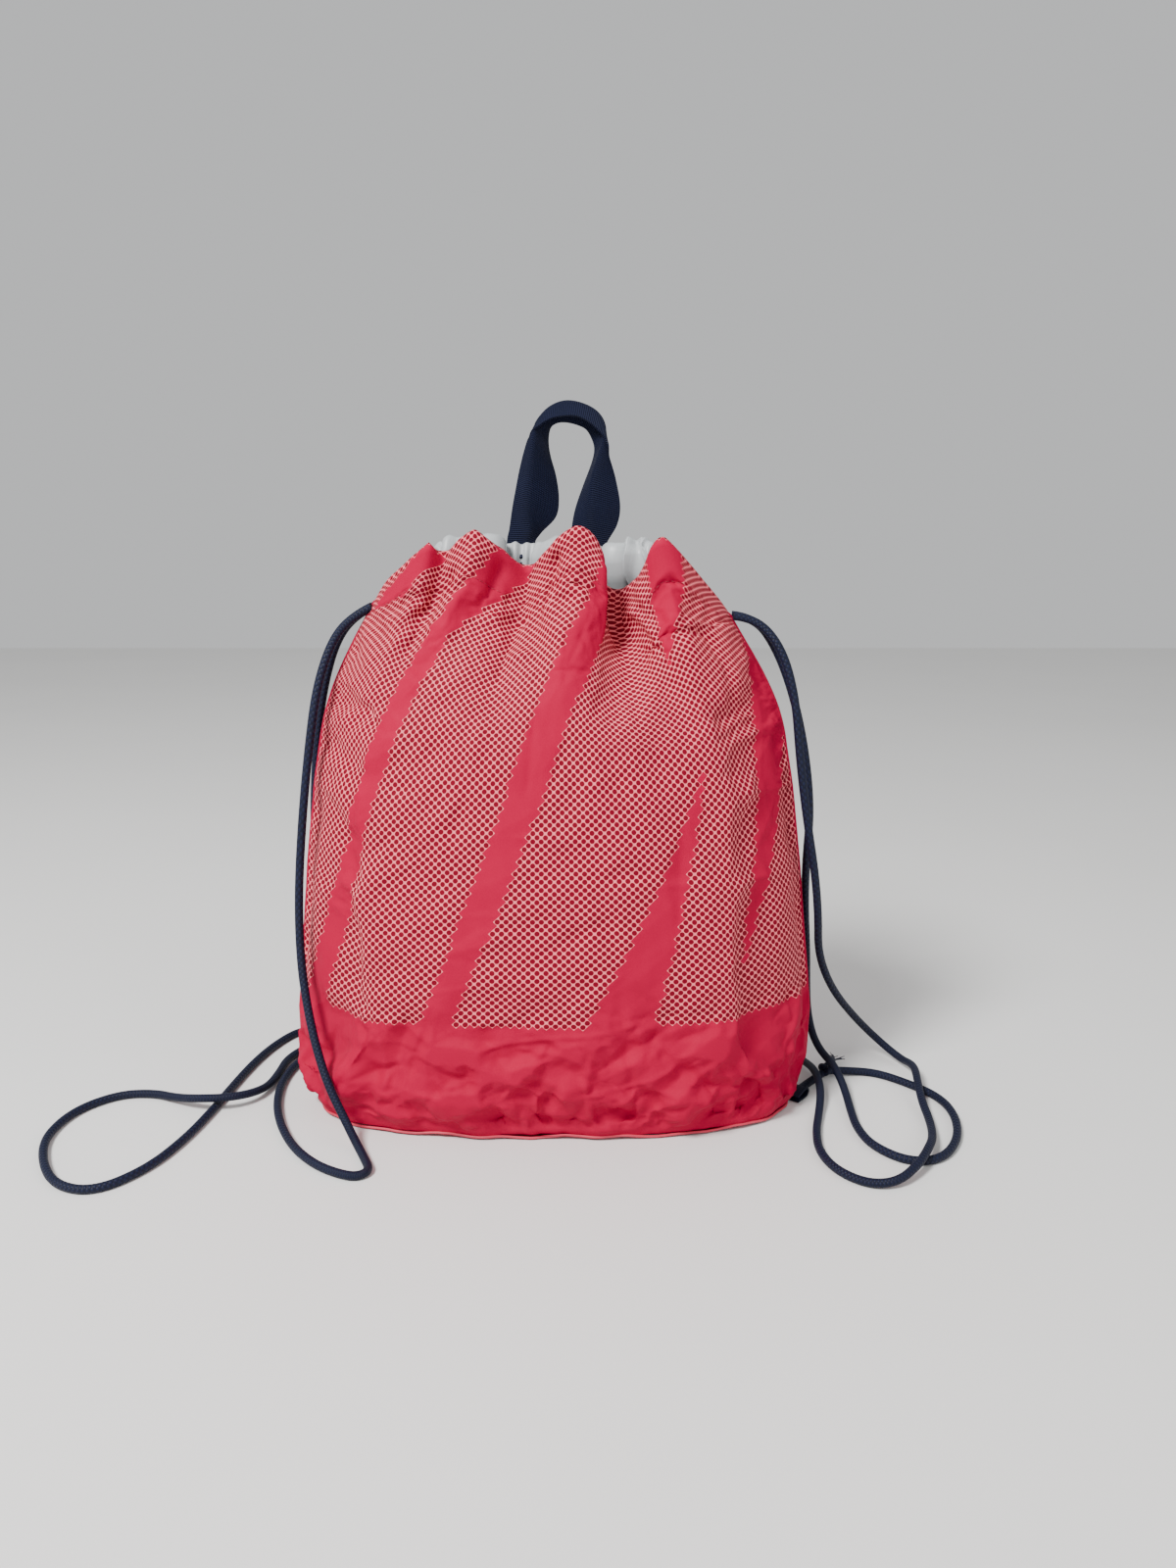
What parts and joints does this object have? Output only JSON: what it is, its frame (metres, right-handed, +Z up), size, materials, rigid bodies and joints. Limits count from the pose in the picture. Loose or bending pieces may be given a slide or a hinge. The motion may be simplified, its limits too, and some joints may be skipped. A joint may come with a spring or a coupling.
{
  "type": "drawstring backpack",
  "caption": "Lined drawstring backpack standing stuffed, with a gathered hem mouth, shoulder cords from hem to bottom corners, corner tabs and a webbing carrying handle.",
  "frame": {"origin": "centre of the bag's base, on the surface it stands on", "axes": "+Z up, the printed front faces -Y, +X to the right seen from the front"},
  "size_m": [0.5487, 0.2173, 0.4273],
  "materials": {
    "printed_shell": "plain-weave polyester, crimson ground with a pale pink dotted net print",
    "crimson_shell": "plain-weave polyester, solid crimson",
    "lining": "light grey satin",
    "webbing": "ribbed navy polyester webbing",
    "cord": "braided navy polyester cord",
    "thread": "navy sewing thread"
  },
  "bodies": {
    "root": {"front_panel": "printed_shell", "back_panel": "crimson_shell", "left_side_seam": "crimson_shell", "right_side_seam": "crimson_shell", "base_panel": "crimson_shell", "front_lining": "lining", "back_lining": "lining", "base_lining": "lining", "base_seam_piping": "crimson_shell", "left_corner_tab": "webbing", "right_corner_tab": "webbing", "left_strand_front": "cord", "left_strand_back": "cord", "right_strand_front": "cord", "right_strand_back": "cord", "left_knot": "cord", "right_knot": "cord", "left_tie_loop": "cord", "right_tie_loop": "cord", "left_cord_tail": "cord", "right_cord_tail": "cord"},
    "front_hem": {"front_hem_channel": "printed_shell", "left_cord_front_run": "cord", "right_cord_front_run": "cord"},
    "back_hem": {"back_hem_channel": "crimson_shell", "left_cord_back_run": "cord", "right_cord_back_run": "cord", "handle_left_anchor": "webbing", "handle_right_anchor": "webbing", "handle_left_bartack": "thread", "handle_right_bartack": "thread"},
    "handle": {"handle_webbing": "webbing"}
  },
  "joints": [
    {"name": "mouth_back", "type": "slide", "parent": "root", "child": "back_hem", "axis": [0, 1, 0], "range_m": [0, 0.035]},
    {"name": "mouth_front", "type": "slide", "parent": "root", "child": "front_hem", "axis": [0, -1, 0], "range_m": [0, 0.035]},
    {"name": "handle_swing", "type": "hinge", "parent": "back_hem", "child": "handle", "pos_m": [0, 0.0312, 0.344], "axis": [-1, 0, 0], "range_deg": [-35, 140]}
  ],
  "couplings": [
    {"joint": "mouth_front", "follows": "mouth_back", "ratio": 1}
  ]
}
